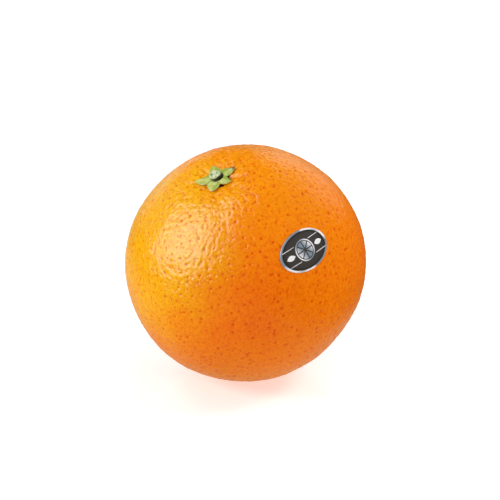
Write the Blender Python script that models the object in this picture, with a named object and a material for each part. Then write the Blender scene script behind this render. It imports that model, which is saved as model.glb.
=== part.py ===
# A whole ripe orange, with the green calyx at its stem end and an oval label on its skin.
# Each piece is modelled upright about the fruit's own axis, with the stem end up.
# An empty then leans the three together, the way the fruit lies on a small flat spot.
# Lengths are in metres and angles in degrees.

import math

import bmesh
import bpy
import numpy as np
from mathutils import Matrix, Vector

MM = 0.001
TAU = 2 * math.pi

# The fruit, a slightly flattened ball
EQUATOR_RADIUS = 40.0 * MM
POLE_RADIUS = 38.3 * MM

# How it lies: its stem end leans this far from upright, towards this heading
LEAN = 26.4
HEADING = -125.6
SPIN = 135.8
FLAT_DEPTH = 0.55 * MM
FLAT_SNAP = 0.12 * MM

# Broad lumps of the skin, as (random seed, distance from lump to lump, height)
LUMPS = ((3, 34 * MM, 0.10 * MM), (8, 15 * MM, 0.05 * MM))
LUMP_WAVES = 24

# The basin round the stem, and the shoulder that stands up round it, most of all on one side
BASIN_DEPTH = 1.9 * MM
BASIN_RADIUS = 8.5 * MM
SHOULDER_HEIGHT = 0.55 * MM
SHOULDER_DISTANCE = 17 * MM
SHOULDER_WIDTH = 6.5 * MM
SHOULDER_ANGLE = 5

# The dip at the blossom end, and the round scar in it
BLOSSOM_DIP_DEPTH = 1.1 * MM
BLOSSOM_DIP_RADIUS = 7.0 * MM
SCAR_RADIUS = 2.9 * MM
SCAR_HEIGHT = 0.45 * MM

# Folds that run out from each end, as (angle round the axis, length, depth)
STEM_FOLDS = (
    (-20, 13 * MM, 0.75 * MM),
    (28, 15 * MM, 0.45 * MM),
    (70, 10 * MM, 0.40 * MM),
    (118, 12 * MM, 0.45 * MM),
    (166, 9 * MM, 0.35 * MM),
    (214, 11 * MM, 0.45 * MM),
    (262, 15 * MM, 0.50 * MM),
    (304, 16 * MM, 0.55 * MM),
)
BLOSSOM_FOLDS = (
    (8, 15 * MM, 0.60 * MM),
    (57, 12 * MM, 0.45 * MM),
    (104, 17 * MM, 0.70 * MM),
    (158, 13 * MM, 0.50 * MM),
    (201, 16 * MM, 0.65 * MM),
    (252, 12 * MM, 0.45 * MM),
    (309, 17 * MM, 0.60 * MM),
)
FOLD_WIDTH = 0.8 * MM
FOLD_FLARE = 0.14
FOLD_PEAK = 0.34

# Mesh of the fruit: meridians, parallels, and how far the parallels crowd towards both ends
MERIDIANS = 72
PARALLELS = 46
CROWDING = 0.6

# The calyx: five sepals, as (angle, reach and lift of the tip, angle and reach of the next notch)
SEPALS = (
    (15.7, 7.5 * MM, 0.9 * MM, 48.9, 3.9 * MM),
    (85.0, 6.1 * MM, 0.5 * MM, 130.0, 2.8 * MM),
    (162.2, 6.7 * MM, 0.5 * MM, 207.4, 3.0 * MM),
    (241.7, 5.8 * MM, 0.3 * MM, 282.4, 3.4 * MM),
    (318.8, 5.7 * MM, 0.6 * MM, 349.0, 3.7 * MM),
)
SEPAL_BOW = 0.13
SEPAL_STEPS = 6
SEPAL_RINGS = 5
SEPAL_ROOT_THICKNESS = 0.8 * MM
SEPAL_EDGE_THICKNESS = 0.35 * MM
GAP = 0.3 * MM

# The stub of the cut stalk: its outline from foot to middle, as shares of its radius and height
STUB_RADIUS = 2.15 * MM
STUB_HEIGHT = 1.15 * MM
STUB_OUTLINE = (
    (1.18, 0.00),
    (1.03, 0.25),
    (1.00, 0.68),
    (0.92, 0.92),
    (0.76, 1.00),
    (0.58, 0.92),
    (0.30, 0.95),
    (0.00, 1.00),
)

# The label: an oval of foil paper that bends with the skin
LABEL_LONG_RADIUS = 9.4 * MM
LABEL_SHORT_RADIUS = 6.45 * MM
LABEL_THICKNESS = 0.2 * MM
LABEL_FROM_STEM = 58.7
LABEL_ANGLE = -56.6
LABEL_TURN = -11.8
LABEL_SIDES = 48
LABEL_RINGS = 5


def clear_scene():
    for item in list(bpy.data.objects):
        bpy.data.objects.remove(item)


def make_material(name, colour, roughness, metallic=0.0):
    material = bpy.data.materials.new(name)
    material.use_nodes = True
    shader = material.node_tree.nodes["Principled BSDF"]
    shader.inputs["Base Color"].default_value = (*colour, 1.0)
    shader.inputs["Roughness"].default_value = roughness
    shader.inputs["Metallic"].default_value = metallic
    return material


def lumps(directions, seed, spacing):
    """Smooth lumps: plane waves of nearly one length that cross the ball every way at random."""
    draw = np.random.default_rng(seed)
    ways = draw.normal(size=(LUMP_WAVES, 3))
    ways /= np.linalg.norm(ways, axis=1)[:, None]
    waves = ways * (EQUATOR_RADIUS / spacing * draw.uniform(0.75, 1.25, LUMP_WAVES))[:, None]
    phases = draw.uniform(0, TAU, LUMP_WAVES)
    return np.cos(TAU * directions @ waves.T + phases).sum(axis=1) * math.sqrt(2 / LUMP_WAVES)


def folds(distance, angle, table):
    """Depth of the folds that run out from an end: soon deep, then fading and widening."""
    depth = np.zeros(len(distance))
    for middle, length, deepest in table:
        turn = angle - math.radians(middle)
        across = distance * np.sin(turn) / (FOLD_WIDTH + FOLD_FLARE * distance)
        along = distance / (FOLD_PEAK * length)
        fold = deepest * np.exp(-(across**2)) * along * np.exp(1 - along)
        depth += np.where(np.cos(turn) > 0, fold, 0)
    return depth


def skin_radius(directions, folded=True):
    """Distance from the fruit's centre to its skin, along unit vectors of the fruit's own frame."""
    upright = np.clip(directions[:, 2], -1, 1)
    level = np.sqrt(1 - upright**2)
    angle = np.arctan2(directions[:, 1], directions[:, 0])
    from_stem = EQUATOR_RADIUS * np.arccos(upright)
    from_blossom = EQUATOR_RADIUS * math.pi - from_stem

    radius = 1 / np.sqrt((level / EQUATOR_RADIUS) ** 2 + (upright / POLE_RADIUS) ** 2)
    for seed, spacing, height in LUMPS:
        radius += height * lumps(directions, seed, spacing)

    radius -= BASIN_DEPTH * np.exp(-((from_stem / BASIN_RADIUS) ** 2))
    one_sided = 0.6 + 0.4 * np.cos(angle - math.radians(SHOULDER_ANGLE))
    off_shoulder = (from_stem - SHOULDER_DISTANCE) / SHOULDER_WIDTH
    radius += SHOULDER_HEIGHT * one_sided * np.exp(-(off_shoulder**2))

    radius -= BLOSSOM_DIP_DEPTH * np.exp(-((from_blossom / BLOSSOM_DIP_RADIUS) ** 2))
    radius += SCAR_HEIGHT * np.exp(-((from_blossom / SCAR_RADIUS) ** 6))
    if folded:
        radius -= folds(from_stem, angle, STEM_FOLDS)
        radius -= folds(from_blossom, angle, BLOSSOM_FOLDS)
    return radius


def resting_turn():
    """The turn from the fruit's own frame to the way it lies."""
    heading = Matrix.Rotation(math.radians(HEADING), 4, "Z")
    lean = Matrix.Rotation(math.radians(LEAN), 4, "Y")
    spin = Matrix.Rotation(math.radians(SPIN), 4, "Z")
    return heading @ lean @ spin


def resting_height():
    """Height of the fruit's centre when its leaning underside is cut to the flat spot."""
    lean = math.radians(LEAN)
    lowest = math.hypot(EQUATOR_RADIUS * math.sin(lean), POLE_RADIUS * math.cos(lean))
    return lowest - FLAT_DEPTH


def spun_ball():
    """A unit ball: half a circle, its points crowded towards both ends, spun round the axis."""
    mesh = bmesh.new()
    steps = np.linspace(0, 1, PARALLELS + 1)
    polar = math.pi * steps - CROWDING / 2 * np.sin(TAU * steps)
    meridian = [mesh.verts.new((math.sin(angle), 0, math.cos(angle))) for angle in polar]
    edges = [mesh.edges.new(pair) for pair in zip(meridian, meridian[1:])]
    bmesh.ops.spin(
        mesh, geom=meridian + edges, axis=(0, 0, 1), cent=(0, 0, 0), angle=TAU, steps=MERIDIANS
    )
    bmesh.ops.remove_doubles(mesh, verts=mesh.verts, dist=1e-5)
    bmesh.ops.recalc_face_normals(mesh, faces=mesh.faces)
    return mesh


def make_fruit():
    """The ball pushed out to the skin, and cut flat where it rests."""
    mesh = spun_ball()
    directions = np.array([vertex.co.normalized() for vertex in mesh.verts])
    skin = directions * skin_radius(directions)[:, None]

    # Points that lie close to the cut are moved onto it, so that it leaves no slivers
    down = resting_turn().to_3x3().inverted() @ Vector((0, 0, -1))
    below = skin @ np.array(down) - resting_height()
    skin -= np.where(np.abs(below) < FLAT_SNAP, below, 0)[:, None] * np.array(down)
    for vertex, place in zip(mesh.verts, skin):
        vertex.co = place

    cut = bmesh.ops.bisect_plane(
        mesh,
        geom=mesh.verts[:] + mesh.edges[:] + mesh.faces[:],
        plane_co=down * resting_height(),
        plane_no=down,
        dist=1e-6,
        clear_outer=True,
    )
    rim = [item for item in cut["geom_cut"] if isinstance(item, bmesh.types.BMEdge)]
    bmesh.ops.edgeloop_fill(mesh, edges=rim)
    bmesh.ops.recalc_face_normals(mesh, faces=mesh.faces)
    return mesh


def closed_rings(start, rings, end):
    """A closed shell of triangles from one middle point, through equal rings, to the other one."""
    mesh = bmesh.new()
    first = mesh.verts.new(start)
    loops = [[mesh.verts.new(place) for place in ring] for ring in rings]
    last = mesh.verts.new(end)
    count = len(loops[0])
    for i in range(count):
        j = (i + 1) % count
        mesh.faces.new((first, loops[0][i], loops[0][j]))
        mesh.faces.new((last, loops[-1][j], loops[-1][i]))
        for here, beyond in zip(loops, loops[1:]):
            mesh.faces.new((here[i], beyond[i], beyond[j]))
            mesh.faces.new((here[i], beyond[j], here[j]))
    bmesh.ops.recalc_face_normals(mesh, faces=mesh.faces)
    return mesh


def skin_height(reach, angle):
    """Height of the skin, folds left out, at a distance from the axis near the stem end."""
    polar = np.arcsin(reach / EQUATOR_RADIUS)
    for _ in range(5):
        level = np.sin(polar)
        directions = np.stack([level * np.cos(angle), level * np.sin(angle), np.cos(polar)], axis=1)
        radius = skin_radius(directions, folded=False)
        polar = np.arcsin(reach / radius)
    return radius * np.cos(polar)


def polar_point(angle, reach):
    return reach * np.array([math.cos(math.radians(angle)), math.sin(math.radians(angle))])


def leaf_edge(start, end, share):
    """Points from start towards end, bowed out to the right of the way there."""
    chord = end - start
    outward = np.array([chord[1], -chord[0]])
    share = share[:, None]
    return start + chord * share + outward * SEPAL_BOW * 4 * share * (1 - share)


def star_outline():
    """Angle, reach and lift of the calyx's edge, from each tip to its notch and the next tip."""
    share = np.arange(SEPAL_STEPS) / SEPAL_STEPS
    places, lifts = [], []
    for i, (angle, reach, lift, notch_angle, notch_reach) in enumerate(SEPALS):
        next_angle, next_reach, next_lift = SEPALS[(i + 1) % len(SEPALS)][:3]
        notch = polar_point(notch_angle, notch_reach)
        places.append(leaf_edge(polar_point(angle, reach), notch, share))
        places.append(leaf_edge(notch, polar_point(next_angle, next_reach), share))
        lifts += [lift * (1 - share) ** 2, next_lift * share**2]
    x, y = np.concatenate(places).T
    return np.arctan2(y, x), np.hypot(x, y), np.concatenate(lifts)


def make_calyx():
    """The stub's outline carried round the axis, run out along the sepals and back under them."""
    angles, reaches, lifts = star_outline()
    root = np.full(len(angles), STUB_RADIUS * STUB_OUTLINE[0][0])

    def ring(reach, height):
        return np.stack([reach * np.cos(angles), reach * np.sin(angles), height], axis=1)

    def underside(share):
        reach = root + (reaches - root) * share
        return reach, skin_height(reach, angles) + GAP + lifts * share**2

    foot = underside(0)[1] + SEPAL_ROOT_THICKNESS
    top = foot.mean() + STUB_HEIGHT
    rings = []
    for width, rise in reversed(STUB_OUTLINE[:-1]):
        reach = np.full(len(angles), STUB_RADIUS * width)
        rings.append(ring(reach, foot + (top - foot) * rise))
    shares = np.arange(1, SEPAL_RINGS + 1) / SEPAL_RINGS
    for share in shares:
        reach, height = underside(share)
        thickness = SEPAL_ROOT_THICKNESS + (SEPAL_EDGE_THICKNESS - SEPAL_ROOT_THICKNESS) * share
        rings.append(ring(reach, height + thickness))
    for share in reversed(shares):
        rings.append(ring(*underside(share)))
    rings.append(ring(*underside(0)))
    rings.append(ring(root / 2, skin_height(root / 2, angles) + GAP))
    return closed_rings((0, 0, top), rings, (0, 0, rings[-1][:, 2].mean()))


def make_label():
    """Ovals laid along the skin, clear of it by the gap, and the same again a thickness further."""
    from_stem = math.radians(LABEL_FROM_STEM)
    angle = math.radians(LABEL_ANGLE)
    level = math.sin(from_stem)
    middle = Vector((level * math.cos(angle), level * math.sin(angle), math.cos(from_stem)))
    east = Vector((-math.sin(angle), math.cos(angle), 0))
    along = Matrix.Rotation(math.radians(LABEL_TURN), 3, middle) @ east
    across = middle.cross(along)

    def ring(share, height):
        turn = np.arange(LABEL_SIDES)[:, None] * TAU / LABEL_SIDES
        offset = LABEL_LONG_RADIUS * np.cos(turn) * np.array(along)
        offset = (offset + LABEL_SHORT_RADIUS * np.sin(turn) * np.array(across)) * share
        bend = np.linalg.norm(offset, axis=1)[:, None] / EQUATOR_RADIUS
        directions = np.array(middle) * np.cos(bend) + offset / EQUATOR_RADIUS * np.sinc(bend / math.pi)
        return directions * (skin_radius(directions, folded=False) + height)[:, None]

    shares = np.arange(1, LABEL_RINGS + 1) / LABEL_RINGS
    outside = GAP + LABEL_THICKNESS
    rings = [ring(share, outside) for share in shares]
    rings += [ring(share, GAP) for share in reversed(shares)]
    return closed_rings(ring(0, outside)[0], rings, ring(0, GAP)[0])


def add_piece(name, mesh, material, carrier):
    data = bpy.data.meshes.new(name)
    mesh.to_mesh(data)
    mesh.free()
    data.materials.append(material)
    data.shade_smooth()
    data.set_sharp_from_angle(angle=math.radians(50))
    piece = bpy.data.objects.new(name, data)
    piece.parent = carrier
    bpy.context.collection.objects.link(piece)


def main():
    clear_scene()
    carrier = bpy.data.objects.new("resting_place", None)
    bpy.context.collection.objects.link(carrier)
    carrier.matrix_world = Matrix.Translation((0, 0, resting_height())) @ resting_turn()

    peel = make_material("waxy orange peel", (0.87, 0.25, 0.012), 0.42)
    green = make_material("green calyx", (0.27, 0.46, 0.09), 0.6)
    foil = make_material("printed foil paper", (0.045, 0.04, 0.035), 0.35, metallic=0.3)
    add_piece("orange", make_fruit(), peel, carrier)
    add_piece("calyx", make_calyx(), green, carrier)
    add_piece("label", make_label(), foil, carrier)


main()
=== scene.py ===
# A whole orange on a white studio floor: its waxy pitted peel, green calyx and oval foil label.
# Lengths are in metres and angles in degrees. The fruit's own frame has its axis upright, stem end up,
# and restingTurn leans that frame the way the fruit lies.

import math

import bmesh
import bpy
import numpy as np
from mathutils import Matrix, Vector


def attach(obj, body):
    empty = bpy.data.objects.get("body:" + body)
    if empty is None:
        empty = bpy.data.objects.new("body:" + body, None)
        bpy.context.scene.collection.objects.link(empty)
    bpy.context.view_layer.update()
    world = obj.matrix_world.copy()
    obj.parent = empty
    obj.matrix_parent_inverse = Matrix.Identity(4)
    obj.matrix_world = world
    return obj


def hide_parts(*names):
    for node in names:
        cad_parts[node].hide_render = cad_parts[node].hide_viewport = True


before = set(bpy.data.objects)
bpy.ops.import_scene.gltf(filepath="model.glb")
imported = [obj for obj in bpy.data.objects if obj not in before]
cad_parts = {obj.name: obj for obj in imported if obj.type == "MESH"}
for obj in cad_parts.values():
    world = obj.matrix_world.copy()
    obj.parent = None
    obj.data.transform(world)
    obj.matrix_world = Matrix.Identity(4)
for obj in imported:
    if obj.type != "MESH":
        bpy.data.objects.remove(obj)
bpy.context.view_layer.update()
mm = 0.001
tau = 2 * math.pi
print("frame: the CAD model is loaded")


# Tools for meshes and materials

def toLinear(hexColour):
    # sRGB hex to linear light: each channel over 255, then the sRGB curve undone
    shares = np.array([int(hexColour[i:i + 2], 16) / 255 for i in (1, 3, 5)])
    linear = np.where(shares < 0.04045, shares / 12.92, ((shares + 0.055) / 1.055) ** 2.4)
    return (*linear, 1.0)


def addNode(tree, kind, links=None, **settings):
    # A node with its settings. Each input gets a value, a socket, or a node's first working output.
    node = tree.nodes.new(kind)
    for name, value in settings.items():
        setattr(node, name, value)
    for name, value in (links or {}).items():
        if isinstance(value, bpy.types.Node):
            value = next(output for output in value.outputs if output.enabled)
        if isinstance(value, bpy.types.NodeSocket):
            tree.links.new(value, node.inputs[name])
        else:
            node.inputs[name].default_value = value
    return node


def startMaterial(name):
    # A new material, with its node tree and its shader
    material = bpy.data.materials.new(name)
    material.use_nodes = True
    tree = material.node_tree
    return material, tree, tree.nodes["Principled BSDF"]


def meshFromGrids(name, grids, attributes, wrap=False):
    # Square cells between the rows and columns of each grid, and with wrap also from its last column to
    # its first; points that meet become one, and each attribute has a value for each point
    cells, start = [], 0
    for grid in grids:
        rows, columns = grid.shape[:2]
        index = start + np.arange(rows * columns).reshape(rows, columns)
        if wrap:
            index = np.hstack([index, index[:, :1]])
        corners = [index[:-1, :-1], index[1:, :-1], index[1:, 1:], index[:-1, 1:]]
        cells.append(np.stack(corners, axis=-1).reshape(-1, 4))
        start += rows * columns
    mesh = bpy.data.meshes.new(name)
    points = np.concatenate([grid.reshape(-1, 3) for grid in grids])
    mesh.from_pydata(points, [], np.concatenate(cells))
    for attribute, values in attributes.items():
        layer = mesh.attributes.new(attribute, "FLOAT", "POINT")
        values = np.concatenate([part.ravel() for part in values])
        layer.data.foreach_set("value", values.astype(np.float32))
    work = bmesh.new()
    work.from_mesh(mesh)
    bmesh.ops.remove_doubles(work, verts=work.verts, dist=0.001 * mm)
    bmesh.ops.recalc_face_normals(work, faces=work.faces)
    work.to_mesh(mesh)
    work.free()
    mesh.shade_smooth()
    return mesh


def addPiece(mesh, material, node):
    # The finished piece, which stands for a node of the CAD model
    mesh.materials.append(material)
    piece = bpy.data.objects.new(mesh.name, mesh)
    bpy.context.scene.collection.objects.link(piece)
    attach(piece, "root")
    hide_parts(node)
    print(f"{node}: {len(mesh.polygons)} faces")


# The fruit's form, the same as in the CAD model

fruit = {
    "equatorRadius": 40.0 * mm,
    "poleRadius": 38.3 * mm,
    "lean": 26.4,  # how far the stem end leans from upright
    "heading": -125.6,  # the way it leans
    "spin": 135.8,  # how far the fruit is turned about its own axis
    "flatDepth": 0.55 * mm,
    "lumps": [(3, 34 * mm, 0.10 * mm), (8, 15 * mm, 0.05 * mm)],  # seed, spacing, height
    "basinDepth": 1.9 * mm,
    "basinRadius": 8.5 * mm,
    "shoulderHeight": 0.55 * mm,
    "shoulderDistance": 17 * mm,
    "shoulderWidth": 6.5 * mm,
    "shoulderAngle": 5,
    "blossomDipDepth": 1.1 * mm,
    "blossomDipRadius": 7.0 * mm,
    "scarRadius": 2.9 * mm,
    "scarHeight": 0.45 * mm,
    "stemFolds": [  # angle, length, depth
        (-20, 13 * mm, 0.75 * mm), (28, 15 * mm, 0.45 * mm), (70, 10 * mm, 0.40 * mm),
        (118, 12 * mm, 0.45 * mm), (166, 9 * mm, 0.35 * mm), (214, 11 * mm, 0.45 * mm),
        (262, 15 * mm, 0.50 * mm), (304, 16 * mm, 0.55 * mm),
    ],
    "blossomFolds": [
        (8, 15 * mm, 0.60 * mm), (57, 12 * mm, 0.45 * mm), (104, 17 * mm, 0.70 * mm),
        (158, 13 * mm, 0.50 * mm), (201, 16 * mm, 0.65 * mm), (252, 12 * mm, 0.45 * mm),
        (309, 17 * mm, 0.60 * mm),
    ],
    "foldWidth": 0.8 * mm,
    "foldFlare": 0.14,  # how much wider a fold gets with its distance from the end
    "foldPeak": 0.34,  # share of its length at which a fold is deepest
}


def waves(directions, seed, spacing, count=24):
    # Smooth random relief of about 1: cosine waves of nearly one length, running every way
    draw = np.random.default_rng(seed)
    ways = draw.normal(size=(count, 3))
    ways /= np.linalg.norm(ways, axis=1)[:, None]
    ways *= (fruit["equatorRadius"] / spacing * draw.uniform(0.75, 1.25, count))[:, None]
    phases = draw.uniform(0, tau, count)
    total = np.zeros(directions.shape[:-1])
    for way, phase in zip(ways, phases):
        total += np.cos(tau * directions @ way + phase)
    return total * math.sqrt(2 / count)


def folds(distance, angle, table):
    # Depth of the folds that run out from an end: a bell across, and along it x * exp(1 - x)
    depth = np.zeros(distance.shape)
    for middle, length, deepest in table:
        turn = angle - math.radians(middle)
        across = distance * np.sin(turn) / (fruit["foldWidth"] + fruit["foldFlare"] * distance)
        along = distance / (fruit["foldPeak"] * length)
        fold = deepest * np.exp(-(across ** 2)) * along * np.exp(1 - along)
        depth += np.where(np.cos(turn) > 0, fold, 0)
    return depth


def endDistances(directions):
    # Angle round the axis, and the distance over the skin from the stem and from the blossom end
    upright = np.clip(directions[..., 2], -1, 1)
    angle = np.arctan2(directions[..., 1], directions[..., 0])
    fromStem = fruit["equatorRadius"] * np.arccos(upright)
    return angle, fromStem, fruit["equatorRadius"] * math.pi - fromStem


def smoothSkin(directions):
    # Distance from the centre: a flattened ball, plus lumps, basin, shoulder, dip and scar
    upright = np.clip(directions[..., 2], -1, 1)
    angle, fromStem, fromBlossom = endDistances(directions)
    level = np.sqrt(1 - upright ** 2)
    radius = 1 / np.sqrt((level / fruit["equatorRadius"]) ** 2 + (upright / fruit["poleRadius"]) ** 2)
    for seed, spacing, height in fruit["lumps"]:
        radius += height * waves(directions, seed, spacing)
    radius -= fruit["basinDepth"] * np.exp(-((fromStem / fruit["basinRadius"]) ** 2))
    oneSided = 0.6 + 0.4 * np.cos(angle - math.radians(fruit["shoulderAngle"]))
    offShoulder = (fromStem - fruit["shoulderDistance"]) / fruit["shoulderWidth"]
    radius += fruit["shoulderHeight"] * oneSided * np.exp(-(offShoulder ** 2))
    radius -= fruit["blossomDipDepth"] * np.exp(-((fromBlossom / fruit["blossomDipRadius"]) ** 2))
    radius += fruit["scarHeight"] * np.exp(-((fromBlossom / fruit["scarRadius"]) ** 6))
    return radius


def turnAbout(axis, angle):
    # The matrix that turns points about X, Y or Z
    return np.array(Matrix.Rotation(math.radians(angle), 3, axis))


leaning = turnAbout("Z", fruit["heading"]) @ turnAbout("Y", fruit["lean"])
restingTurn = leaning @ turnAbout("Z", fruit["spin"])
# The lowest point of a leaning flattened ball lies this far below its middle, less the flat spot
restingHeight = math.hypot(
    fruit["equatorRadius"] * math.sin(math.radians(fruit["lean"])),
    fruit["poleRadius"] * math.cos(math.radians(fruit["lean"])),
) - fruit["flatDepth"]


def toPlace(points):
    # From the fruit's own frame to where it lies
    return points @ restingTurn.T + np.array([0, 0, restingHeight])


# The peel

peel = {
    "gridCount": 129,  # points along each side of the six grids
    "crowding": 0.26,  # how much closer the grid is at the stem end than at the middle
    "pebbles": [  # seed, spacing, height
        (21, 6.0 * mm, 0.014 * mm), (22, 3.2 * mm, 0.016 * mm), (23, 1.9 * mm, 0.025 * mm),
        (24, 1.3 * mm, 0.018 * mm),
    ],
    "stemRoughness": 1.0,  # how much rougher the skin is round the stem than elsewhere
    "roughDistance": 13 * mm,  # how far from the stem it is roughest
    "roughWidth": 8 * mm,
    "pits": [  # seed, spacing, half width, depth, and how dark they are
        (41, 2.4 * mm, 0.46 * mm, 0.27 * mm, 1.0), (42, 1.6 * mm, 0.34 * mm, 0.08 * mm, 0.55),
    ],
    "pitWidths": (0.8, 1.25),  # range of a pit's own half width and depth, as shares of those above
    "pitDepths": (0.45, 1.0),
    "pitReach": 3,  # grid steps round a pit's middle that it can touch
    "pitJitter": 0.30,  # how far a pit strays from its even place, as a share of the spacing
    "streaks": [  # angle, distance from the stem, half length, half width, height
        (-20, 7.0 * mm, 2.0 * mm, 0.30 * mm, -0.09 * mm),
        (-17, 10.5 * mm, 2.2 * mm, 0.30 * mm, -0.12 * mm),
        (-58.5, 12.4 * mm, 3.0 * mm, 0.40 * mm, 0.24 * mm),
        (-70, 13.8 * mm, 1.3 * mm, 0.38 * mm, 0.22 * mm),
        (-88.5, 12.2 * mm, 1.9 * mm, 0.34 * mm, 0.20 * mm),
        (-94.2, 11.2 * mm, 1.1 * mm, 0.34 * mm, 0.18 * mm),
        (116.5, 7.2 * mm, 1.9 * mm, 0.34 * mm, 0.20 * mm),
        (124, 9.3 * mm, 1.5 * mm, 0.34 * mm, 0.16 * mm),
        (-156, 5.4 * mm, 1.3 * mm, 0.35 * mm, -0.10 * mm),
    ],
    "strayStreaks": (51, 70),  # seed and count
    "strayRanges": [  # of their angle, distance, half length, half width and height
        (0, 360), (6 * mm, 19 * mm), (0.8 * mm, 2.4 * mm), (0.28 * mm, 0.5 * mm), (-0.13 * mm, 0.13 * mm),
    ],
    "dimples": [  # x and y in the fruit's own frame, half width, depth
        (4.30 * mm, -0.80 * mm, 0.86 * mm, 0.10 * mm), (1.45 * mm, -3.40 * mm, 0.86 * mm, 0.40 * mm),
    ],
    "foldShade": 0.3,  # how strongly 1 mm of fold and of groove is darkened with painted shade
    "grooveShade": 6.0,
    "litSide": (-0.83, -0.42, 0.37),  # way to the side that is painted lit, yellower as under the brightest light, where the fruit lies
    "litMiddle": 0.70,  # share of the way towards it at which half the yellow is left
    "litBlend": 0.08,
    "litWander": (61, 14 * mm, 0.03),  # seed and spacing of the waves in its edge, and their share
    "litWays": [  # more ways in which it is painted lit and yellower, the share where that starts, and its rise
        ((0.0, 0.0, 1.0), 0.16, 0.52),
        ((0.0, 0.0, -1.0), 0.18, 0.55),
        ((0.72, -0.69, -0.05), 0.79, 0.57),
    ],
    "cellSize": 0.8 * mm,  # the skin's cells, drawn this wide so that they show
    "cellHeight": 0.17,  # in mm, as glandDepth is
    "glandSpacing": 1.3 * mm,  # of the smallest glands, which are balls that the skin cuts
    "glandRadius": 0.42 * mm,
    "glandFloor": 0.14 * mm,  # the radius within which a gland is deepest
    "glandTint": 0.42,
    "glandDepth": 0.0588,
    # the yellow of the painted lit side, and the peel's own deep orange
    "litYellowPeel": "#f6b70c",
    "deepPeel": "#f57a06",
    # the glands' own deeper colour, also laid as painted shade in the skin's dips, folds and grooves
    "pitTintAndShade": "#ea9a6e",
    # painted shadow in the dimples under the sepals' notches
    "hollowShadowPeel": "#6a0814",
    "scarPeel": "#efc163",
}
peelValues = ("pit", "crease", "marksAndShade", "scar", "paleAndLit")  # what the mesh tells the material at each point


def withPolar(directions, polar):
    # The same way round the axis, at another angle from it
    level = np.maximum(np.hypot(directions[..., 0], directions[..., 1]), 1e-12)
    around = directions[..., :2] / level[..., None]
    return np.concatenate([around * np.sin(polar)[..., None], np.cos(polar)[..., None]], axis=-1)


def crowd(directions, share):
    # Draws directions towards the stem: the angle a from it becomes a - share * sin(a)
    polar = np.arccos(np.clip(directions[..., 2], -1, 1))
    return withPolar(directions, polar - share * np.sin(polar))


def spread(directions, share):
    # Undoes crowd: a = b + share * sin(a) is started with b for a, and worked out again 20 times
    crowded = np.arccos(np.clip(directions[..., 2], -1, 1))
    polar = crowded
    for _ in range(20):
        polar = crowded + share * np.sin(polar)
    return withPolar(directions, polar)


def cubeGrids(count):
    # Six grids that close to a ball: on each cube face, tangents of even angles, brought to length 1
    step = np.tan(np.linspace(-math.pi / 4, math.pi / 4, count))
    across, up = np.meshgrid(step, step, indexing="ij")
    face = np.stack([np.ones_like(across), across, up], axis=-1)
    face /= np.linalg.norm(face, axis=-1)[..., None]
    sides = [(axis, side) for axis in range(3) for side in (1, -1)]
    return [(axis, side, np.roll(side * face, axis, axis=-1)) for axis, side in sides]


def pitMiddles(seed, spacing):
    # Points spread over the ball on a golden spiral, each moved at random by a share of the spacing, with
    # each pit's own width and depth
    draw = np.random.default_rng(seed)
    count = int(4 * math.pi * fruit["equatorRadius"] ** 2 / spacing ** 2)
    height = 1 - (2 * np.arange(count) + 1) / count
    around = np.arange(count) * math.pi * (3 - math.sqrt(5))
    level = np.sqrt(1 - height ** 2)
    points = np.stack([level * np.cos(around), level * np.sin(around), height], axis=-1)
    points += draw.normal(size=points.shape) * peel["pitJitter"] * spacing / fruit["equatorRadius"]
    points /= np.linalg.norm(points, axis=-1)[:, None]
    return points, draw.uniform(*peel["pitWidths"], count), draw.uniform(*peel["pitDepths"], count)


def stampPits(axis, side, grid, middles, widths, depths, halfWidth):
    # Each pit is a bell round its middle, laid on the grid points near it; the deepest one counts
    count = len(grid)
    stamped = np.zeros((count, count))
    faced = np.roll(spread(middles, peel["crowding"]), -axis, axis=-1)
    ahead = faced[:, 0] * side > 0.5  # on this side of the cube, or not far past its edge
    faced, middles, widths, depths = faced[ahead], middles[ahead], widths[ahead], depths[ahead]
    nearest = (np.arctan(faced[:, 1:] / faced[:, :1]) / (math.pi / 2) + 0.5) * (count - 1)
    nearest = np.round(nearest).astype(int)
    reach = range(-peel["pitReach"], peel["pitReach"] + 1)
    for i, j in [(i, j) for i in reach for j in reach]:
        row, column = nearest[:, 0] + i, nearest[:, 1] + j
        inside = (row >= 0) & (row < count) & (column >= 0) & (column < count)
        row, column = row[inside], column[inside]
        apart = np.linalg.norm(grid[row, column] - middles[inside], axis=-1)
        apart *= fruit["equatorRadius"]
        bell = depths[inside] * np.exp(-((apart / (halfWidth * widths[inside])) ** 2))
        np.maximum.at(stamped, (row, column), bell)
    return stamped


def streaks(angle, distance, table):
    # Short ridges and grooves that point at an end: a bell across times a bell along
    height = np.zeros(angle.shape)
    for middle, out, halfLength, halfWidth, top in table:
        turn = angle - math.radians(middle)
        across = distance * np.sin(turn) / halfWidth
        along = (distance - out) / halfLength
        height += np.where(np.cos(turn) > 0, top * np.exp(-(across ** 2) - along ** 2), 0)
    return height


def strayStreaks():
    # More such streaks at random, up and down
    seed, count = peel["strayStreaks"]
    draw = np.random.default_rng(seed)
    return list(zip(*[draw.uniform(low, high, count) for low, high in peel["strayRanges"]]))


def pebbles(directions):
    # The skin's uneven surface: waves of a few lengths, each times its height
    return sum(height * waves(directions, seed, gap, 40) for seed, gap, height in peel["pebbles"])


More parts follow.
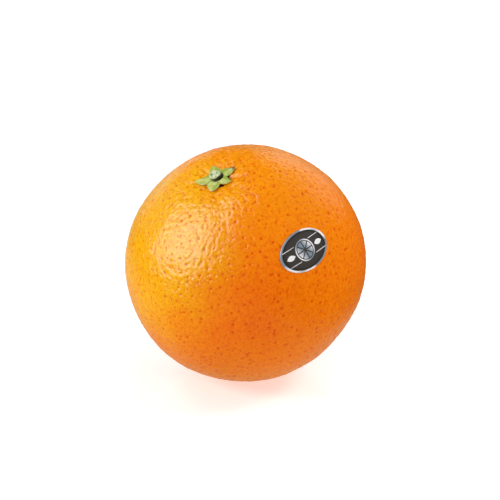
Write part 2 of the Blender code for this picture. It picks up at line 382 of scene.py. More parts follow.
def makePeel():
    # Six grids of the smooth skin less folds, pits and dimples, plus streaks and pebbles
    pits = [(*pitMiddles(seed, spacing), *sizes) for seed, spacing, *sizes in peel["pits"]]
    stray = strayStreaks()
    wanderSeed, wanderSpacing, wander = peel["litWander"]
    down = restingTurn.T @ np.array([0, 0, -1.0])
    litWay = restingTurn.T @ (np.array(peel["litSide"]) / np.linalg.norm(peel["litSide"]))
    grids = []
    values = {name: [] for name in peelValues}
    for axis, side, cube in cubeGrids(peel["gridCount"]):
        grid = crowd(cube, peel["crowding"])
        angle, fromStem, fromBlossom = endDistances(grid)
        scar = np.exp(-((fromBlossom / fruit["scarRadius"]) ** 6))
        crease = folds(fromStem, angle, fruit["stemFolds"])
        crease += folds(fromBlossom, angle, fruit["blossomFolds"])
        streak = streaks(angle, fromStem, peel["streaks"] + stray)
        streak += streaks(-angle, fromBlossom, stray)
        sunk, pit, dimple, marksAndShade = np.zeros((4, *angle.shape))
        for middles, widths, depths, halfWidth, depth, tint in pits:
            stamped = stampPits(axis, side, grid, middles, widths, depths, halfWidth) * (1 - scar)
            sunk = np.maximum(sunk, depth * stamped)
            pit = np.maximum(pit, tint * stamped)
        # Dimples under the sepals' notches, where the material paints shadow
        for x, y, halfWidth, depth in peel["dimples"]:
            apart = np.linalg.norm(grid[..., :2] * fruit["equatorRadius"] - [x, y], axis=-1)
            bell = np.exp(-((apart / halfWidth) ** 2)) * (grid[..., 2] > 0)
            dimple += depth * bell
            marksAndShade = np.maximum(marksAndShade, bell)
        offRough = (fromStem - peel["roughDistance"]) / peel["roughWidth"]
        rough = 1 + peel["stemRoughness"] * np.exp(-(offRough ** 2))
        radius = smoothSkin(grid) - crease + streak + rough * pebbles(grid) - sunk - dimple
        radius = np.minimum(radius, restingHeight / np.maximum(grid @ down, 0.01))  # flat underneath
        grids.append(toPlace(grid * radius[..., None]))
        # Painted shade in the folds and grooves
        creaseShade = (peel["foldShade"] * crease - peel["grooveShade"] * np.minimum(streak, 0)) / mm
        # Painted light: yellower towards the side the lamps light most, and towards the top, underside
        # and right
        offLit = peel["litMiddle"] - grid @ litWay + wander * waves(grid, wanderSeed, wanderSpacing)
        awayFromLight = 1 - 1 / (1 + np.exp(offLit / peel["litBlend"]))
        for way, start, rise in peel["litWays"]:
            awayFromLight *= 1 - np.clip(rise * (grid @ (restingTurn.T @ np.array(way)) - start), 0, 1)
        for name, value in zip(peelValues, (pit, creaseShade, marksAndShade, scar, 1 - awayFromLight)):
            values[name].append(value)
    addPiece(meshFromGrids("waxedPeel", grids, values), waxedPeel(), "orange")


def waxedPeel():
    # Citrus peel under a thin wax: oil glands sunk into it as darker pits, under a broad soft sheen
    material, tree, shader = startMaterial("waxed citrus peel")
    place = addNode(tree, "ShaderNodeTexCoord").outputs["Object"]
    nodes = [addNode(tree, "ShaderNodeAttribute", attribute_name=name) for name in peelValues]
    pit, crease, marksAndShade, scar, paleAndLit = [node.outputs["Fac"] for node in nodes]

    # Painted light: the peel's own deep orange, yellower where the lamps light it most
    links = {0: paleAndLit, 6: toLinear(peel["deepPeel"]), 7: toLinear(peel["litYellowPeel"])}
    colour = addNode(tree, "ShaderNodeMix", links, data_type="RGBA")
    # The skin is deeper in colour in the dips between its cells: partly its own tone, partly painted
    # shade
    links = {"Vector": place, "Scale": 1 / peel["cellSize"], "Detail": 1.5}
    cells = addNode(tree, "ShaderNodeTexNoise", links)
    dipToneAndShade = addNode(tree, "ShaderNodeMapRange", {0: cells, 1: 0.56, 2: 0.36, 3: 0.0, 4: 0.4})
    # The smallest glands, each 1 at its middle, which leave the scar clear
    links = {"Vector": place, "Scale": 1 / peel["glandSpacing"]}
    off = addNode(tree, "ShaderNodeTexVoronoi", links).outputs["Distance"]
    edge, floor = peel["glandRadius"] / peel["glandSpacing"], peel["glandFloor"] / peel["glandSpacing"]
    glands = addNode(tree, "ShaderNodeMapRange", {0: off, 1: edge, 2: floor, 3: 0.0, 4: 1.0})
    clear = addNode(tree, "ShaderNodeMath", {0: 1.0, 1: scar}, operation="SUBTRACT")
    glands = addNode(tree, "ShaderNodeMath", {0: glands, 1: clear}, operation="MULTIPLY")
    dots = addNode(tree, "ShaderNodeMath", {0: glands, 1: peel["glandTint"]}, operation="MULTIPLY")
    pitsAndShade = addNode(tree, "ShaderNodeMapRange", {0: pit, 1: 0.15, 2: 0.7, 3: 0.0, 4: 1.0})
    pitsAndShade = addNode(tree, "ShaderNodeMath", {0: pitsAndShade, 1: dots}, operation="MAXIMUM")
    pitsAndShade = addNode(tree, "ShaderNodeMath", {0: pitsAndShade, 1: dipToneAndShade}, operation="MAXIMUM")
    # Painted shade in the folds and grooves
    creaseShade = addNode(tree, "ShaderNodeMapRange", {0: crease, 1: 0.1, 2: 1.3})
    # Painted shadow in the dimples under the sepals
    hollowShadow = addNode(tree, "ShaderNodeMapRange", {0: marksAndShade, 1: 0.12, 2: 0.6})
    scarred = addNode(tree, "ShaderNodeMapRange", {0: scar, 1: 0.1, 2: 0.9, 3: 0.0, 4: 0.85})
    for share, tint, blend in (
        (pitsAndShade, "pitTintAndShade", "MULTIPLY"), (creaseShade, "pitTintAndShade", "MULTIPLY"),
        (hollowShadow, "hollowShadowPeel", "MIX"), (scarred, "scarPeel", "MIX"),
    ):
        links = {0: share, 6: colour, 7: toLinear(peel[tint])}
        colour = addNode(tree, "ShaderNodeMix", links, data_type="RGBA", blend_type=blend)
    tree.links.new(colour.outputs[2], shader.inputs["Base Color"])

    # Height in mm: the skin's cells less the smallest glands
    height = addNode(tree, "ShaderNodeMath", {0: glands, 1: -peel["glandDepth"]}, operation="MULTIPLY")
    links = {0: cells, 1: peel["cellHeight"], 2: height}
    height = addNode(tree, "ShaderNodeMath", links, operation="MULTIPLY_ADD")
    bump = addNode(tree, "ShaderNodeBump", {"Height": height, "Distance": 1.0 * mm})
    tree.links.new(bump.outputs[0], shader.inputs["Normal"])
    shader.inputs["Roughness"].default_value = 0.20
    shader.inputs["IOR"].default_value = 1.45
    shader.inputs["Specular IOR Level"].default_value = 0.22
    shader.inputs["Subsurface Weight"].default_value = 0.08
    shader.inputs["Subsurface Radius"].default_value = (1.0, 0.35, 0.08)
    shader.inputs["Subsurface Scale"].default_value = 1.0 * mm
    return material


makePeel()


# The calyx with the stub of the stalk

calyx = {
    "centre": (0.85 * mm, 0.36 * mm),
    "outline": [  # tip, side, notch and side of each sepal in turn, in mm from the fruit's axis
        (7.36, 1.90), (5.74, -0.15), (3.87, -0.61), (4.26, -2.56),
        (4.55, -3.95), (2.73, -4.19), (1.10, -2.78), (-0.51, -4.88),
        (-2.41, -5.05), (-3.00, -2.20), (-2.35, -0.66), (-4.41, -0.56),
        (-6.20, 2.38), (-3.40, 2.55), (-1.62, 2.62), (-0.41, 4.93),
        (0.76, 6.30), (1.89, 5.03), (2.86, 3.31), (5.10, 2.63),
    ],
    "lifts": [0.18 * mm, 0.16 * mm, 0.05 * mm, 0.12 * mm, 0.08 * mm],
    "tones": [-0.12, -0.02, 0.02, 0.04, -0.02],  # how much paler each sepal is than the mean
    "halfShade": 0.12,  # painted shade: how much greener a sepal's half is where it faces the way below, away from the light
    "shadedWay": (0.80, 0.59),
    "edgeSteps": 24,  # points along each side of a sepal
    "sepalRings": 26,
    "gap": 0.04 * mm,  # between the sepals' underside and the peel
    "rootThickness": 0.7 * mm,
    "edgeThickness": 0.22 * mm,
    "grooveDepth": 0.12 * mm,  # along the middle of each sepal
    "curl": 0.16 * mm,  # how far the sepals' sides bend up
    "stubRadius": 2.02 * mm,
    "stubHeight": 1.05 * mm,
    "stubLean": (-0.28 * mm, 0.08 * mm),
    "stubOutline": [  # from foot to middle, as shares of radius and height
        (1.08, -0.10), (1.01, 0.00), (0.99, 0.20), (0.99, 0.42), (1.00, 0.66),
        (0.99, 0.84), (0.95, 0.96), (0.87, 1.00), (0.78, 0.95), (0.68, 0.83),
        (0.54, 0.76), (0.38, 0.80), (0.20, 0.88), (0.06, 0.90), (0.00, 0.90),
    ],
    "stubRing": (0.60, 0.13, 0.3),  # a dull ring on its face: radius and width as shares, and how dull
    "stubPits": [  # x, y from its middle, half width, depth
        (-1.00 * mm, 0.95 * mm, 0.48 * mm, 0.50 * mm), (0.80 * mm, 1.00 * mm, 0.40 * mm, 0.24 * mm),
        (-0.25 * mm, 0.45 * mm, 0.24 * mm, 0.14 * mm),
    ],
    "shadeAngle": -45,  # angle of the stub's side that is darkest: painted shade, away from the light
    "shadedFace": (0.62, 0.97),  # shares of its radius over which the face there turns as dark as the wall, in painted shade
    "green": "#8fa52c",
    "paleGreen": "#c4cb6c",
    "edgeGreen": "#d2e4a4",
    "dryTip": "#5d4f22",
    "scuff": "#d8dcc6",
    "cutStalk": "#d9dfbc",
    "stalkPit": "#59661f",
    "stalkSide": "#8c9648",
    # dark bark, and painted shade on the side away from the light
    "stalkBarkInShade": "#26240e",
}
calyxValues = ("face", "wall", "marksAndShade", "edge", "midline", "dry", "scuffed", "toneAndShade")  # as peelValues


def throughSide(start, side, end, share):
    # The parabola that passes its start, its side point halfway, and its end
    share = share[:, None]
    ends = start * (1 - share) * (1 - 2 * share) + end * share * (2 * share - 1)
    return ends + side * 4 * share * (1 - share)


def starOutline():
    # Each point once round the star: its angle and reach from the calyx's centre, its lift, how near a
    # sepal's tip it is, and its tone with painted shade on the half away from the light
    share = np.arange(calyx["edgeSteps"]) / calyx["edgeSteps"]
    corners = np.array(calyx["outline"]) * mm - np.array(calyx["centre"])
    lifts = calyx["lifts"]
    places, raised, tipness, tones = [], [], [], []
    for i in range(0, 20, 4):
        tip, side, notch, nextSide, nextTip = corners[[i, i + 1, i + 2, i + 3, (i + 4) % 20]]
        first, second = calyx["tones"][i // 4], calyx["tones"][(i // 4 + 1) % 5]
        # Painted shade: the half of each sepal that faces the shaded way is greener
        halfShadeAlong = calyx["halfShade"] * 4 * share * (1 - share)
        sides = (first, second, tip, share, -1), (second, first, nextTip, 1 - share, 1)
        for near, far, end, spot, way in sides:
            facing = way * np.dot(calyx["shadedWay"], (-end[1], end[0])) / np.hypot(*end)
            tones.append(near + (far - near) * spot / 2 - facing * halfShadeAlong)
        places.append(throughSide(tip, side, notch, share))
        places.append(throughSide(notch, nextSide, nextTip, share))
        raised += [lifts[i // 4] * (1 - share) ** 2, lifts[(i // 4 + 1) % 5] * share ** 2]
        tipness += [1 - share, share]
    x, y = np.concatenate(places).T
    shape = np.arctan2(y, x), np.hypot(x, y), np.concatenate(raised)
    return *shape, np.concatenate(tipness), np.concatenate(tones)


def skinHeight(x, y):
    # Height of the smooth skin over the fruit's middle, at a place near the stem end: the angle from the
    # axis is arcsin(reach / radius), and is worked out again with the radius found at it
    reach, angle = np.hypot(x, y), np.arctan2(y, x)
    polar = np.arcsin(reach / fruit["equatorRadius"])
    for _ in range(5):
        x, y = np.sin(polar) * np.cos(angle), np.sin(polar) * np.sin(angle)
        radius = smoothSkin(np.stack([x, y, np.cos(polar)], axis=-1))
        polar = np.arcsin(reach / radius)
    return radius * np.cos(polar)


def makeCalyx():
    # Rings round its centre: out over the stub, along the sepals, over their edge and back below
    angles, reaches, lifts, tipness, tones = starOutline()
    around = np.stack([np.cos(angles), np.sin(angles)], axis=-1)
    root = calyx["stubRadius"] * calyx["stubOutline"][0][0]
    # The stub isn't quite round: it is wider and narrower three and five times on its way round
    uneven = 1 + 0.035 * np.cos(3 * angles + 1) + 0.03 * np.cos(5 * angles + 2.5)
    rings = []
    values = {name: [] for name in calyxValues}
    midline = tipness ** 4
    offTip = np.angle(np.exp(1j * (angles - angles[0])))
    # Painted shade: 1 on the stub's side away from the light, 0 opposite
    sideShade = 0.5 + 0.5 * np.cos(angles - math.radians(calyx["shadeAngle"]))

    def addRing(place, height, face=0.0, wall=0.0, marksAndShade=0.0, edge=0.0):
        # A ring's points and their values; the first sepal's tip is dry, with a pale scuff beside it
        height = np.broadcast_to(height, angles.shape)
        rings.append(np.concatenate([place, height[:, None]], axis=-1))
        dry = np.clip((edge - 0.76) / 0.08, 0, 1) * np.exp(-((offTip / 0.16) ** 2))
        scuffed = np.exp(-(((edge - 0.70) / 0.07) ** 2) - ((offTip - 0.03) / 0.05) ** 2)
        ringValues = (face, wall, marksAndShade, edge, midline, dry, scuffed, tones)
        for name, value in zip(calyxValues, ringValues):
            values[name].append(np.broadcast_to(value, angles.shape))

    def underside(share):
        # A share of the way from the stub to the edge, just over the skin and lifted towards the tips
        place = np.array(calyx["centre"]) + around * (root + (reaches - root) * share)[:, None]
        return place, skinHeight(*place.T) + calyx["gap"] + lifts * share ** 2

    foot = underside(0)[1] + calyx["rootThickness"]
    ringMiddle, ringWidth, ringDullness = calyx["stubRing"]
    shadeStart, shadeEnd = calyx["shadedFace"]
    for width, rise in reversed(calyx["stubOutline"]):
        spot = around * (calyx["stubRadius"] * width * uneven)[:, None]
        height = foot + (foot.mean() + calyx["stubHeight"] - foot) * rise
        dullness = ringDullness * math.exp(-(((width - ringMiddle) / ringWidth) ** 2))
        marksAndShade = np.full(angles.shape, dullness)
        for pitX, pitY, pitWidth, pitDepth in calyx["stubPits"]:
            pit = np.exp(-(((spot[:, 0] - pitX) ** 2 + (spot[:, 1] - pitY) ** 2) / pitWidth ** 2))
            height = height - pitDepth * pit * (rise > 0.7)  # near its top alone
            marksAndShade = np.maximum(marksAndShade, pit)
        if width == 0:
            height = height.mean()
        place = np.array(calyx["centre"]) + np.array(calyx["stubLean"]) * rise + spot
        wall = np.ones_like(sideShade)
        # Painted shade: the face's edge darkens like the wall on the side away from the light
        if width < shadeEnd:
            wall = np.clip((width - shadeStart) / (shadeEnd - shadeStart), 0, 1) * sideShade ** 2
        addRing(place, height, face=1 - wall, wall=wall, marksAndShade=marksAndShade + (sideShade - marksAndShade) * wall)
    shares = np.linspace(0, 1, calyx["sepalRings"] + 1)[1:]
    for share in shares:
        place, height = underside(share)
        thickness = calyx["rootThickness"] * (1 - share) + calyx["edgeThickness"] * share
        groove = calyx["grooveDepth"] * midline * math.sin(math.pi * share)
        curl = calyx["curl"] * share ** 4 * (1 - midline)
        addRing(place, height + thickness - groove + curl, edge=share)
    for share in reversed(shares):
        place, height = underside(share)
        addRing(place, height + calyx["curl"] * share ** 4 * (1 - midline), edge=share)
    for share in (1, 0.5, 0):
        place = np.array(calyx["centre"]) + around * root * share
        height = skinHeight(*place.T) + calyx["gap"]
        addRing(place, height if share else height.mean())
    mesh = meshFromGrids("greenCalyx", [toPlace(np.array(rings))], values, wrap=True)
    addPiece(mesh, greenSepals(), "calyx")


def greenSepals():
    # Fresh green sepals, matt with pale torn edges, and the corky pale face of the cut stalk
    material, tree, shader = startMaterial("fresh green sepals")
    place = addNode(tree, "ShaderNodeTexCoord").outputs["Object"]
    nodes = [addNode(tree, "ShaderNodeAttribute", attribute_name=name) for name in calyxValues]
    face, wall, marksAndShade, edge, midline, dry, scuffed, toneAndShade = [node.outputs["Fac"] for node in nodes]
    # Blotches 1.6 mm wide, the cork's grain of 0.8 mm and the sepals' fine skin of 0.5 mm
    sizes = ((1.6 * mm, 3.0), (0.8 * mm, 2.0), (0.5 * mm, 2.0))
    patterns = [{"Vector": place, "Scale": 1 / size, "Detail": detail} for size, detail in sizes]
    mottle, cork, fine = [addNode(tree, "ShaderNodeTexNoise", links) for links in patterns]

    # Paler along the middle of a sepal and deeper towards its edge, with the pale torn edge itself, the
    # first sepal's dry tip and the scuff laid over that
    paleAndLit = addNode(tree, "ShaderNodeMath", {0: midline, 1: 0.16, 2: mottle}, operation="MULTIPLY_ADD")
    paleAndLit = addNode(tree, "ShaderNodeMath", {0: edge, 1: -0.10, 2: paleAndLit}, operation="MULTIPLY_ADD")
    # Each sepal's own tone, with painted shade on its half away from the light
    paleAndLit = addNode(tree, "ShaderNodeMath", {0: paleAndLit, 1: toneAndShade}, operation="ADD")
    paleAndLit = addNode(tree, "ShaderNodeMapRange", {0: paleAndLit, 1: 0.34, 2: 0.60})
    links = {0: paleAndLit, 6: toLinear(calyx["green"]), 7: toLinear(calyx["paleGreen"])}
    colour = addNode(tree, "ShaderNodeMix", links, data_type="RGBA")
    torn = addNode(tree, "ShaderNodeMapRange", {0: edge, 1: 0.965, 2: 1.0, 3: 0.0, 4: 0.8})
    for share, tint in ((torn, "edgeGreen"), (dry, "dryTip"), (scuffed, "scuff")):
        links = {0: share, 6: colour, 7: toLinear(calyx[tint])}
        colour = addNode(tree, "ShaderNodeMix", links, data_type="RGBA")
    # The stub's wall: dark bark, with painted shade on the side away from the light, and its flecked face
    barkShade = addNode(tree, "ShaderNodeMath", {0: cork, 1: marksAndShade, 2: -0.5}, operation="ADD")
    barkShade = addNode(tree, "ShaderNodeMapRange", {0: barkShade, 1: 0.65, 2: 1.25})
    links = {0: barkShade, 6: toLinear(calyx["stalkSide"]), 7: toLinear(calyx["stalkBarkInShade"])}
    bark = addNode(tree, "ShaderNodeMix", links, data_type="RGBA")
    colour = addNode(tree, "ShaderNodeMix", {0: wall, 6: colour, 7: bark}, data_type="RGBA")
    flecks = addNode(tree, "ShaderNodeMapRange", {0: cork, 1: 0.45, 2: 0.70, 3: 0.0, 4: 0.7})
    links = {0: flecks, 6: toLinear(calyx["cutStalk"]), 7: toLinear(calyx["green"])}
    stalk = addNode(tree, "ShaderNodeMix", links, data_type="RGBA")
    links = {0: marksAndShade, 6: stalk, 7: toLinear(calyx["stalkPit"])}
    stalk = addNode(tree, "ShaderNodeMix", links, data_type="RGBA")
    colour = addNode(tree, "ShaderNodeMix", {0: face, 6: colour, 7: stalk}, data_type="RGBA")
    tree.links.new(colour.outputs[2], shader.inputs["Base Color"])

    bump = addNode(tree, "ShaderNodeBump", {"Height": fine, "Distance": 0.10 * mm})
    tree.links.new(bump.outputs[0], shader.inputs["Normal"])
    shader.inputs["Roughness"].default_value = 0.5
    shader.inputs["Specular IOR Level"].default_value = 0.3
    return material


makeCalyx()


# The label

label = {
    "longRadius": 9.26 * mm,
    "shortRadius": 6.37 * mm,
    "fromStem": 58.5,  # its middle's angle from the axis, the way there, and how far it is turned
    "angle": -56.0,
    "turn": -9.5,
    "sides": 192,
    "rings": 36,
    "lift": 0.13 * mm,  # over the smooth skin, to clear the pebbles
    "thickness": 0.08 * mm,
    "edgeDrop": 0.14 * mm,  # how far the underside bends down to the skin at the edge
    "rimShare": 0.915,  # share of the radius at which the rim starts
    "rimHeight": 0.06 * mm,
    "rimWidth": 0.03,  # of its bead, as a share of the radius
    "charcoal": "#423e3a",
    # painted shade of the ink inside the raised rim
    "shadowInk": "#14110f",
    # the foil's colours in its painted sheen, bright and dark
    "foilSheen": "#fbfbfd",
    "foilShade": "#8493a1",
    "sliceRadius": 3.3,  # of the citrus slice in the middle, in mm as the sizes below are
    "rindHalfWidth": 0.20,
    "pulpRadius": 2.8,
    "pulpGap": 0.20,
    "leafMiddle": 5.7,
    "leafHalfLength": 1.6,
    "leafHalfWidth": 0.85,
    "lineOffset": 2.6,
    "lineHalfWidth": 0.10,
    "lineStart": 4.0,
    "sheenWay": (0.62, 0.25, 0.0),  # the way across the drawing's bands of painted sheen, in radians to the mm
}


def makeLabel():
    # Ovals along the skin from the middle to the rim, over the edge, and back below to the middle
    fromStem, angle = math.radians(label["fromStem"]), math.radians(label["angle"])
    level = math.sin(fromStem)
    middle = np.array([level * math.cos(angle), level * math.sin(angle), math.cos(fromStem)])
    east = np.array([-math.sin(angle), math.cos(angle), 0])
    turn = math.radians(label["turn"])
    along = east * math.cos(turn) + np.cross(middle, east) * math.sin(turn)
    across = np.cross(middle, along)
    around = np.arange(label["sides"]) * tau / label["sides"]
    x, y = label["longRadius"] * np.cos(around), label["shortRadius"] * np.sin(around)

    def ring(share, height):
        # Each point goes its distance from the label's middle along the skin
        offset = (x[:, None] * along + y[:, None] * across) * share / fruit["equatorRadius"]
        bend = np.linalg.norm(offset, axis=-1)[:, None]
        directions = middle * np.cos(bend) + offset * np.sinc(bend / math.pi)
        return directions * (smoothSkin(directions) + height)[:, None]

    shares = np.linspace(0, 1, label["rings"] + 1)
    rim = (1 + label["rimShare"]) / 2
    bead = label["rimHeight"] * np.exp(-(((shares - rim) / label["rimWidth"]) ** 2))
    top = label["lift"] + label["thickness"] + bead
    below = label["lift"] - label["edgeDrop"] * shares ** 40
    rings = [ring(share, height) for share, height in zip(shares, top)]
    rings += [ring(share, height) for share, height in zip(shares[::-1], below[::-1])]
    twice = np.concatenate([shares, shares[::-1]])[:, None]
    values = {
        "printX": [twice * x / mm],
        "printY": [twice * y / mm],
        "printRim": [twice * np.ones_like(x)],
    }
    mesh = meshFromGrids("foilLabel", [toPlace(np.array(rings))], values, wrap=True)
    addPiece(mesh, printedFoil(), "label")


def printedFoil():
    # Foil paper printed with charcoal ink, its bare silver left as rim and drawing, under a thin varnish
    material, tree, shader = startMaterial("printed foil paper")
    names = ("printX", "printY", "printRim")
    nodes = [addNode(tree, "ShaderNodeAttribute", attribute_name=name) for name in names]
    x, y, share = [node.outputs["Fac"] for node in nodes]
    place = addNode(tree, "ShaderNodeCombineXYZ", {0: x, 1: y})
    radius = addNode(tree, "ShaderNodeVectorMath", {0: place}, operation="LENGTH").outputs["Value"]
    angle = addNode(tree, "ShaderNodeMath", {0: y, 1: x}, operation="ARCTAN2")

    # The rind of the slice is where the radius is within half its width of the slice's radius
    links = {0: radius, 1: label["sliceRadius"], 2: label["rindHalfWidth"]}
    rind = addNode(tree, "ShaderNodeMath", links, operation="COMPARE")
    # Eight wedges of pulp: the distance to a wedge's side is radius * sin(angle to that side)
    toSide = addNode(tree, "ShaderNodeMath", {0: angle, 1: math.pi / 8}, operation="PINGPONG")
    toSide = addNode(tree, "ShaderNodeMath", {0: toSide}, operation="SINE")
    toSide = addNode(tree, "ShaderNodeMath", {0: toSide, 1: radius}, operation="MULTIPLY")
    links = {0: toSide, 1: label["pulpGap"]}
    wedge = addNode(tree, "ShaderNodeMath", links, operation="GREATER_THAN")
    links = {0: radius, 1: label["pulpRadius"]}
    within = addNode(tree, "ShaderNodeMath", links, operation="LESS_THAN")
    pulp = addNode(tree, "ShaderNodeMath", {0: wedge, 1: within}, operation="MULTIPLY")
    citrus = addNode(tree, "ShaderNodeMath", {0: rind, 1: pulp}, operation="MAXIMUM")
    # A leaf on each side: its half width is a parabola that ends at both tips
    reach = addNode(tree, "ShaderNodeMath", {0: x}, operation="ABSOLUTE")
    links = {0: reach, 1: label["leafMiddle"]}
    reach = addNode(tree, "ShaderNodeMath", links, operation="SUBTRACT")
    links = {0: reach, 1: label["leafHalfLength"]}
    reach = addNode(tree, "ShaderNodeMath", links, operation="DIVIDE")
    reach = addNode(tree, "ShaderNodeMath", {0: reach, 1: 2.0}, operation="POWER")
    width = addNode(tree, "ShaderNodeMath", {0: 1.0, 1: reach}, operation="SUBTRACT")
    links = {0: width, 1: label["leafHalfWidth"]}
    width = addNode(tree, "ShaderNodeMath", links, operation="MULTIPLY")
    height = addNode(tree, "ShaderNodeMath", {0: y}, operation="ABSOLUTE")
    leaf = addNode(tree, "ShaderNodeMath", {0: height, 1: width}, operation="LESS_THAN")
    drawing = addNode(tree, "ShaderNodeMath", {0: citrus, 1: leaf}, operation="MAXIMUM")
    # A thin line above and below, broken where the slice is
    links = {0: height, 1: label["lineOffset"], 2: label["lineHalfWidth"]}
    line = addNode(tree, "ShaderNodeMath", links, operation="COMPARE")
    links = {0: radius, 1: label["lineStart"]}
    outside = addNode(tree, "ShaderNodeMath", links, operation="GREATER_THAN")
    line = addNode(tree, "ShaderNodeMath", {0: line, 1: outside}, operation="MULTIPLY")
    drawing = addNode(tree, "ShaderNodeMath", {0: drawing, 1: line}, operation="MAXIMUM")
    links = {0: share, 1: label["rimShare"]}
    rim = addNode(tree, "ShaderNodeMath", links, operation="GREATER_THAN")
    foil = addNode(tree, "ShaderNodeMath", {0: drawing, 1: rim}, operation="MAXIMUM")

    # Painted reflection: the rim's foil is drawn bright and grey by its angle a in degrees, as if it
    # mirrored the room: it is bright where cos(2b - 130) - 0.6 cos(6b - 342) is high, with b = a + 16 +
    # 14 sin(a + 20)
    uneven = addNode(tree, "ShaderNodeMath", {0: angle, 1: math.radians(20)}, operation="ADD")
    uneven = addNode(tree, "ShaderNodeMath", {0: uneven}, operation="SINE")
    links = {0: uneven, 1: math.radians(14), 2: math.radians(16)}
    uneven = addNode(tree, "ShaderNodeMath", links, operation="MULTIPLY_ADD")
    turned = addNode(tree, "ShaderNodeMath", {0: angle, 1: uneven}, operation="ADD")
    links = {0: turned, 1: 2.0, 2: -math.radians(130)}
    broad = addNode(tree, "ShaderNodeMath", links, operation="MULTIPLY_ADD")
    broad = addNode(tree, "ShaderNodeMath", {0: broad}, operation="COSINE")
    links = {0: turned, 1: 6.0, 2: -math.radians(342)}
    narrow = addNode(tree, "ShaderNodeMath", links, operation="MULTIPLY_ADD")
    narrow = addNode(tree, "ShaderNodeMath", {0: narrow}, operation="COSINE")
    sheen = addNode(tree, "ShaderNodeMath", {0: narrow, 1: -0.6, 2: broad}, operation="MULTIPLY_ADD")
    sheen = addNode(tree, "ShaderNodeMapRange", {0: sheen, 1: 0.0, 2: 0.8})
    links = {0: sheen, 6: toLinear(label["foilShade"]), 7: toLinear(label["foilSheen"])}
    foilSheen = addNode(tree, "ShaderNodeMix", links, data_type="RGBA")
    # The ink darkens towards the rim with painted shade, and the drawing's foil has broad bands of
    # painted sheen
    shaded = addNode(tree, "ShaderNodeMapRange", {0: share, 1: 0.78, 2: 0.90, 3: 0.0, 4: 0.7})
    links = {0: shaded, 6: toLinear(label["charcoal"]), 7: toLinear(label["shadowInk"])}
    ink = addNode(tree, "ShaderNodeMix", links, data_type="RGBA")
    links = {0: place, 1: label["sheenWay"]}
    bands = addNode(tree, "ShaderNodeVectorMath", links, operation="DOT_PRODUCT")
    bands = addNode(tree, "ShaderNodeMath", {0: bands.outputs["Value"]}, operation="COSINE")
    bands = addNode(tree, "ShaderNodeMapRange", {0: bands, 1: 0.9, 2: -0.4})
    links = {0: bands, 6: toLinear(label["foilShade"]), 7: toLinear(label["foilSheen"])}
    drawn = addNode(tree, "ShaderNodeMix", links, data_type="RGBA")
    colour = addNode(tree, "ShaderNodeMix", {0: drawing, 6: ink, 7: drawn}, data_type="RGBA")
    colour = addNode(tree, "ShaderNodeMix", {0: rim, 6: colour, 7: foilSheen}, data_type="RGBA")
    tree.links.new(colour.outputs[2], shader.inputs["Base Color"])
    metallic = addNode(tree, "ShaderNodeMath", {0: foil, 1: 0.1}, operation="MULTIPLY")
    tree.links.new(metallic.outputs[0], shader.inputs["Metallic"])
    shader.inputs["Roughness"].default_value = 0.32
    return material


makeLabel()


# The studio: floor, light and camera

studio = {
    "elevation": 20,  # of the camera, and its distance in metres
    "distance": 0.52,
    "focalPixels": 1568,
    "photoPixels": 500,
    "aimRight": 1.58 * mm,  # how far beside and above the fruit's middle the picture's middle lies
    "aimUp": 4.2 * mm,
    "floorSize": 8.0,
    "fillStrength": 0.42,  # of the soft light from all round
    "floorGlow": (0.47, 1.0),  # how brightly the camera sees it, near the fruit and far off
    "glowSpread": (0.15, 1.40),  # how near and how far that is, in metres
    "floorLight": 0.51,  # how brightly it lights the fruit
    "warmth": "#ffdfb2",  # the colour of that light
    "floorWhite": 0.85,  # its own shade to the camera, and in the light that it gives back to the fruit
    "floorShade": 0.25,
    "cardShades": [(45 * mm, 75 * mm), (-110 * mm, -200 * mm)],  # where each painted card shade starts and is full
    "cardLeak": 0.1,  # share of that light in their full shade
    "softboxes": [  # name, way to it, distance, width, height, power, what it lights: body, gloss or both
        ("keySoftbox", (-0.83, -0.27, 0.48), 1.0, 0.30, 0.30, 4.35, "body"),
        ("glossSoftbox", (-0.80, -0.30, 0.515), 1.0, 0.90, 0.92, 32.5, "gloss"),
        ("upperSoftbox", (0.72, 0.05, 0.69), 1.0, 0.35, 0.35, 4.0, "body"),
        ("backSoftbox", (-0.55, 0.48, 0.68), 1.0, 0.35, 0.35, 2.0, "body"),
        ("rightSoftbox", (0.93, -0.36, 0.07), 1.0, 0.30, 0.12, 3.7, "body"),
        ("lowSoftbox", (-0.60, -0.72, 0.04), 1.0, 0.60, 0.12, 2.3, "body"),
        ("rimSoftbox", (0.42, 0.75, 0.42), 1.2, 1.00, 0.70, 2.3, "both"),
        ("topSoftbox", (-0.35, -0.10, 0.93), 1.0, 0.20, 0.20, 2.6, "gloss"),
        ("farSoftbox", (-0.45, 0.86, 0.20), 1.2, 0.80, 0.50, 1.1, "gloss"),
        ("horizonSoftbox", (-0.10, 0.99, 0.08), 1.3, 1.80, 0.36, 0.4, "gloss"),
    ],
}


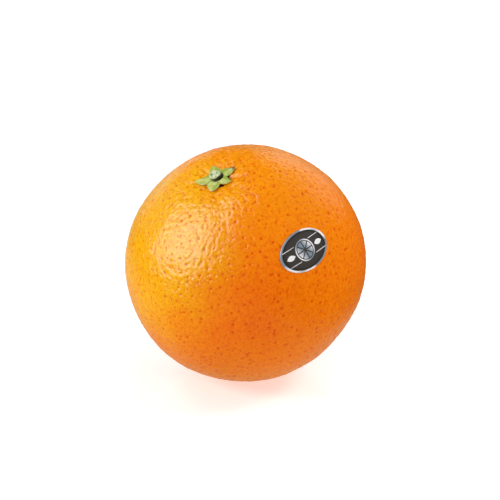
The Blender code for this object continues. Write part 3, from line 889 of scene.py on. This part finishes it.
def makeStudio():
    # A white floor that glows, soft lights round the fruit, and the camera
    half = studio["floorSize"] / 2
    mesh = bpy.data.meshes.new("studioFloor")
    corners = [(-half, -half, 0), (half, -half, 0), (half, half, 0), (-half, half, 0)]
    mesh.from_pydata(corners, [], [(0, 1, 2, 3)])
    floor = bpy.data.objects.new("studioFloor", mesh)
    bpy.context.scene.collection.objects.link(floor)
    # White acrylic sheet, lit from below: plain white to the camera, and to the fruit a weak warm glow,
    # with painted shade where cards would hold it off at the right and far to the left
    material, tree, shader = startMaterial("white acrylic sheet")
    seen = addNode(tree, "ShaderNodeLightPath")
    place = addNode(tree, "ShaderNodeTexCoord").outputs["Object"]
    across = addNode(tree, "ShaderNodeSeparateXYZ", {0: place})
    unshaded = 1.0
    for near, far in studio["cardShades"]:
        links = {0: across, 1: near, 2: far, 3: 1.0, 4: studio["cardLeak"]}
        past = addNode(tree, "ShaderNodeMapRange", links)
        unshaded = addNode(tree, "ShaderNodeMath", {0: past, 1: unshaded}, operation="MULTIPLY")
    links = {0: unshaded, 1: studio["floorLight"]}
    lit = addNode(tree, "ShaderNodeMath", links, operation="MULTIPLY")
    away = addNode(tree, "ShaderNodeVectorMath", {0: place}, operation="LENGTH").outputs["Value"]
    near, far = studio["glowSpread"]
    links = {0: away, 1: near, 2: far, 3: studio["floorGlow"][0], 4: studio["floorGlow"][1]}
    glow = addNode(tree, "ShaderNodeMapRange", links)
    glow = addNode(tree, "ShaderNodeMix", {0: seen, 2: lit, 3: glow})
    tree.links.new(glow.outputs[0], shader.inputs["Emission Strength"])
    white, shade = [(value, value, value, 1) for value in (studio["floorWhite"], studio["floorShade"])]
    links = {0: unshaded, 6: (0, 0, 0, 1), 7: shade}
    shade = addNode(tree, "ShaderNodeMix", links, data_type="RGBA")
    links = {0: seen, 6: shade, 7: white}
    colour = addNode(tree, "ShaderNodeMix", links, data_type="RGBA")
    tree.links.new(colour.outputs[2], shader.inputs["Base Color"])
    tree.links.new(seen.outputs["Is Camera Ray"], shader.inputs["Specular IOR Level"])
    links = {0: seen, 6: toLinear(studio["warmth"]), 7: (1, 1, 1, 1)}
    warm = addNode(tree, "ShaderNodeMix", links, data_type="RGBA")
    tree.links.new(warm.outputs[2], shader.inputs["Emission Color"])
    shader.inputs["Roughness"].default_value = 0.2
    material.cycles.emission_sampling = "NONE"
    mesh.materials.append(material)

    # Soft light from all round, which the gloss doesn't mirror, and white wherever the camera sees it
    elevation = math.radians(studio["elevation"])
    toCamera = Vector((0, -math.cos(elevation), math.sin(elevation)))
    world = bpy.data.worlds.new("softWhiteStudio")
    world.use_nodes = True
    world.cycles_visibility.glossy = False
    tree = world.node_tree
    seen = addNode(tree, "ShaderNodeLightPath").outputs["Is Camera Ray"]
    links = {0: seen, 1: studio["fillStrength"]}
    strength = addNode(tree, "ShaderNodeMath", links, operation="MAXIMUM")
    background = tree.nodes["Background"]
    tree.links.new(strength.outputs[0], background.inputs["Strength"])
    background.inputs["Color"].default_value = (1, 1, 1, 1)
    bpy.context.scene.world = world

    for name, way, distance, width, height, power, lights in studio["softboxes"]:
        light = bpy.data.lights.new(name, "AREA")
        light.shape = "RECTANGLE"
        light.size, light.size_y = width, height
        light.energy = power
        lamp = bpy.data.objects.new(name, light)
        lamp.visible_camera = False
        lamp.visible_diffuse = lights != "gloss"
        lamp.visible_glossy = lights != "body"
        bpy.context.scene.collection.objects.link(lamp)
        way = Vector(way).normalized()
        lamp.location = way * distance + Vector((0, 0, restingHeight))
        lamp.rotation_euler = way.to_track_quat("Z", "Y").to_euler()
    bpy.context.scene.view_settings.view_transform = "Standard"

    camera = bpy.data.objects.new("photoCamera", bpy.data.cameras.new("photoCamera"))
    bpy.context.scene.collection.objects.link(camera)
    camera.data.lens = studio["focalPixels"] / studio["photoPixels"] * camera.data.sensor_width
    up = Vector((0, math.sin(elevation), math.cos(elevation)))
    aim = Vector((studio["aimRight"], 0, restingHeight)) + up * studio["aimUp"]
    camera.location = aim + toCamera * studio["distance"]
    camera.rotation_euler = toCamera.to_track_quat("Z", "Y").to_euler()
    bpy.context.scene.camera = camera
    print("studio: floor, light and camera are in place")


makeStudio()
